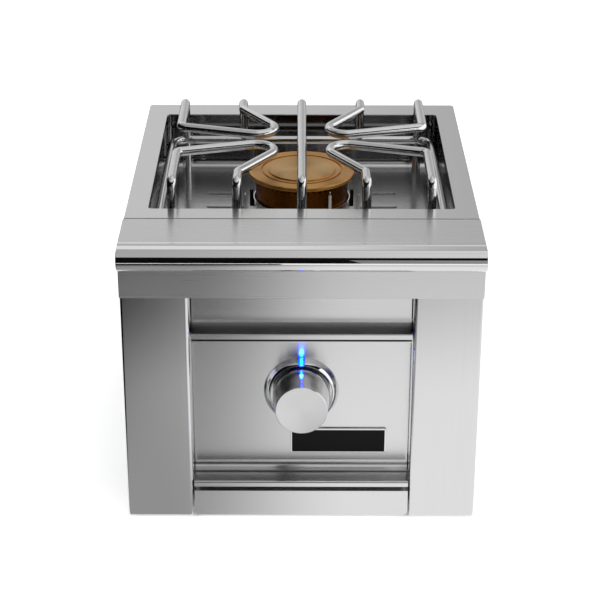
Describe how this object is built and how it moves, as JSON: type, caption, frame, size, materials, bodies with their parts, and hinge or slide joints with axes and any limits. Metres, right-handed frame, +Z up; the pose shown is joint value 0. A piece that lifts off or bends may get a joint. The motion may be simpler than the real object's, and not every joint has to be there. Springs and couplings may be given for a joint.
{
  "type": "built in side burner",
  "caption": "Built-in outdoor gas side burner: stainless deck with rolled front edge, brass burner in a drawn well, bent-rod grate, lit knob in a recessed panel and a drip tray.",
  "frame": {"origin": "centre of the footprint, on the surface that the base plate and posts stand on", "axes": "+X to the right as the user faces the knob, +Y from the front towards the rear, +Z up"},
  "size_m": [0.356, 0.4326, 0.3314],
  "materials": {
    "stainless": "brushed",
    "casing_steel": "mill finish sheet",
    "rod_steel": "polished rod",
    "knob_metal": "turned satin",
    "bezel_chrome": "polished",
    "burner_brass": "machined",
    "valve_brass": "machined",
    "cast_aluminium": "cast",
    "tube_aluminium": "drawn",
    "lens_blue": "clear blue, lit",
    "black_plastic": "moulded",
    "white_ceramic": "glazed",
    "black_rubber": "silicone sleeve"
  },
  "bodies": {
    "casing": {"top_deck": "stainless", "well_pan": "stainless", "well_collar": "stainless", "front_nose": "stainless", "nose_end_left": "stainless", "nose_end_right": "stainless", "leg_left": "stainless", "leg_right": "stainless", "hood_panel": "stainless", "control_panel": "stainless", "lower_rail": "stainless", "badge_plate": "stainless", "casing_left": "casing_steel", "casing_right": "casing_steel", "casing_rear": "casing_steel", "base_plate": "casing_steel", "heat_shield": "casing_steel", "runner_left": "casing_steel", "runner_right": "casing_steel", "valve_bracket": "casing_steel", "burner_bridge": "casing_steel", "injector_bracket": "casing_steel", "electrode_holder": "casing_steel", "valve_screws": "casing_steel", "burner_screws": "casing_steel", "collar_pins": "casing_steel", "electrode_tip": "casing_steel", "knob_bezel": "bezel_chrome", "valve_body": "valve_brass", "injector": "valve_brass", "inlet_fitting": "valve_brass", "burner_base": "cast_aluminium", "mixer_tube": "cast_aluminium", "gas_line": "tube_aluminium", "feed_tube": "tube_aluminium", "lamp_lens": "lens_blue", "lamp_housing": "black_plastic", "ignition_module": "black_plastic", "electrode_ceramic": "white_ceramic", "ignition_lead": "black_rubber"},
    "push": {"switch_collar": "black_plastic"},
    "knob": {"knob": "knob_metal", "valve_stem": "rod_steel"},
    "grate": {"grate_ring": "rod_steel", "grate_rod_middle": "rod_steel", "grate_finger_front_left": "rod_steel", "grate_finger_front_right": "rod_steel", "grate_finger_rear_left": "rod_steel", "grate_finger_rear_right": "rod_steel", "grate_feet": "rod_steel"},
    "head": {"burner_head": "burner_brass"},
    "cap": {"burner_cap": "burner_brass"},
    "tray": {"drip_tray": "stainless", "tray_front": "stainless"},
    "shutter": {"air_shutter": "casing_steel"}
  },
  "joints": [
    {"name": "knob_push", "type": "slide", "parent": "casing", "child": "push", "axis": [0, 1, 0], "range_m": [0, 0.003], "stiffness_N_per_m": 1500, "springref_m": -0.001},
    {"name": "knob_turn", "type": "hinge", "parent": "push", "child": "knob", "pos_m": [0, -0.2, 0.1315], "axis": [0, -1, 0], "range_deg": [0, 210]},
    {"name": "grate_lift", "type": "slide", "parent": "casing", "child": "grate", "axis": [0, 0, 1], "range_m": [0, 0.12]},
    {"name": "head_lift", "type": "slide", "parent": "casing", "child": "head", "axis": [0, 0, 1], "range_m": [0, 0.018]},
    {"name": "cap_lift", "type": "slide", "parent": "head", "child": "cap", "axis": [0, 0, 1], "range_m": [0, 0.01]},
    {"name": "tray_slide", "type": "slide", "parent": "casing", "child": "tray", "axis": [0, -1, 0], "range_m": [0, 0.3]},
    {"name": "shutter_turn", "type": "hinge", "parent": "casing", "child": "shutter", "pos_m": [0, -0.045, 0.209], "axis": [0, 1, 0], "range_deg": [0, 60]}
  ]
}
